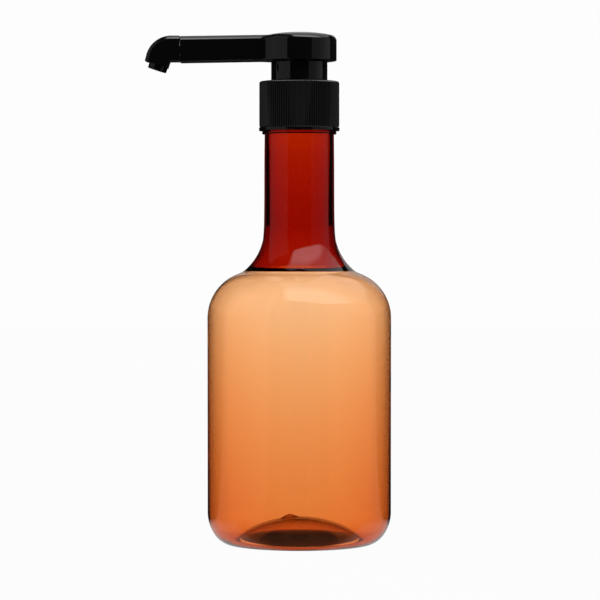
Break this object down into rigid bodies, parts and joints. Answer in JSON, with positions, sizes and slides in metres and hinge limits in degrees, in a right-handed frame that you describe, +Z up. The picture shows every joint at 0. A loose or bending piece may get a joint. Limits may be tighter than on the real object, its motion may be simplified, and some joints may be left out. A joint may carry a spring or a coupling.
{
  "type": "syrup pump bottle",
  "caption": "Long-necked clear amber bottle with a black lock-down pump: ribbed screw cap, domed head, long level spout with a turned-down tip.",
  "frame": {"origin": "centre of the part's outline seen from above, at the level of the bottle's standing ring; the bottle's own axis is 16.25 mm from it towards +X", "axes": "+Z up along the bottle's axis, -X along the spout towards its tip, +Y across the spout"},
  "size_m": [0.1284, 0.096, 0.2669],
  "materials": {
    "amber_plastic": "clear amber moulded plastic, glossy, deep red-brown where the wall is thick",
    "black_plastic": "glossy black moulded plastic",
    "natural_plastic": "clear uncoloured moulded plastic",
    "seal_rubber": "soft off-white sealing rubber",
    "stainless_steel": "drawn stainless wire and pressed rings",
    "clear_glass": "polished clear glass"
  },
  "bodies": {
    "bottle": {"bottle": "amber_plastic"},
    "pump": {"pump_housing": "natural_plastic", "neck_gasket": "seal_rubber", "lock_collar": "black_plastic", "spring_cup": "natural_plastic", "stem_wiper": "seal_rubber", "lower_spring_seat": "stainless_steel", "return_spring": "stainless_steel", "inlet_ball_cage": "natural_plastic", "dip_tube": "natural_plastic"},
    "closure": {"closure": "black_plastic"},
    "plunger": {"spring_sleeve": "black_plastic", "upper_spring_seat": "stainless_steel", "plunger_stem": "natural_plastic", "piston": "natural_plastic", "outlet_valve_seat": "natural_plastic"},
    "head": {"actuator_head": "black_plastic", "nozzle_elbow": "black_plastic"},
    "inlet_ball": {"inlet_ball": "clear_glass"},
    "outlet_ball": {"outlet_ball": "clear_glass"}
  },
  "joints": [
    {"name": "pump_lift", "type": "slide", "parent": "bottle", "child": "pump", "axis": [0, 0, 1], "range_m": [0, 0.225]},
    {"name": "closure_turn", "type": "hinge", "parent": "pump", "child": "closure", "pos_m": [0.01625, 0, 0.2291], "axis": [0, 0, 1], "continuous": true},
    {"name": "pump_stroke", "type": "slide", "parent": "pump", "child": "plunger", "axis": [0, 0, 1], "range_m": [0, 0.032], "deforming": ["return_spring"]},
    {"name": "spout_swivel", "type": "hinge", "parent": "plunger", "child": "head", "pos_m": [0.01625, 0, 0.259], "axis": [0, 0, 1], "continuous": true},
    {"name": "inlet_ball_lift", "type": "slide", "parent": "pump", "child": "inlet_ball", "axis": [0, 0, 1], "range_m": [0, 0.002]},
    {"name": "outlet_ball_lift", "type": "slide", "parent": "plunger", "child": "outlet_ball", "axis": [0, 0, 1], "range_m": [0, 0.002]}
  ]
}
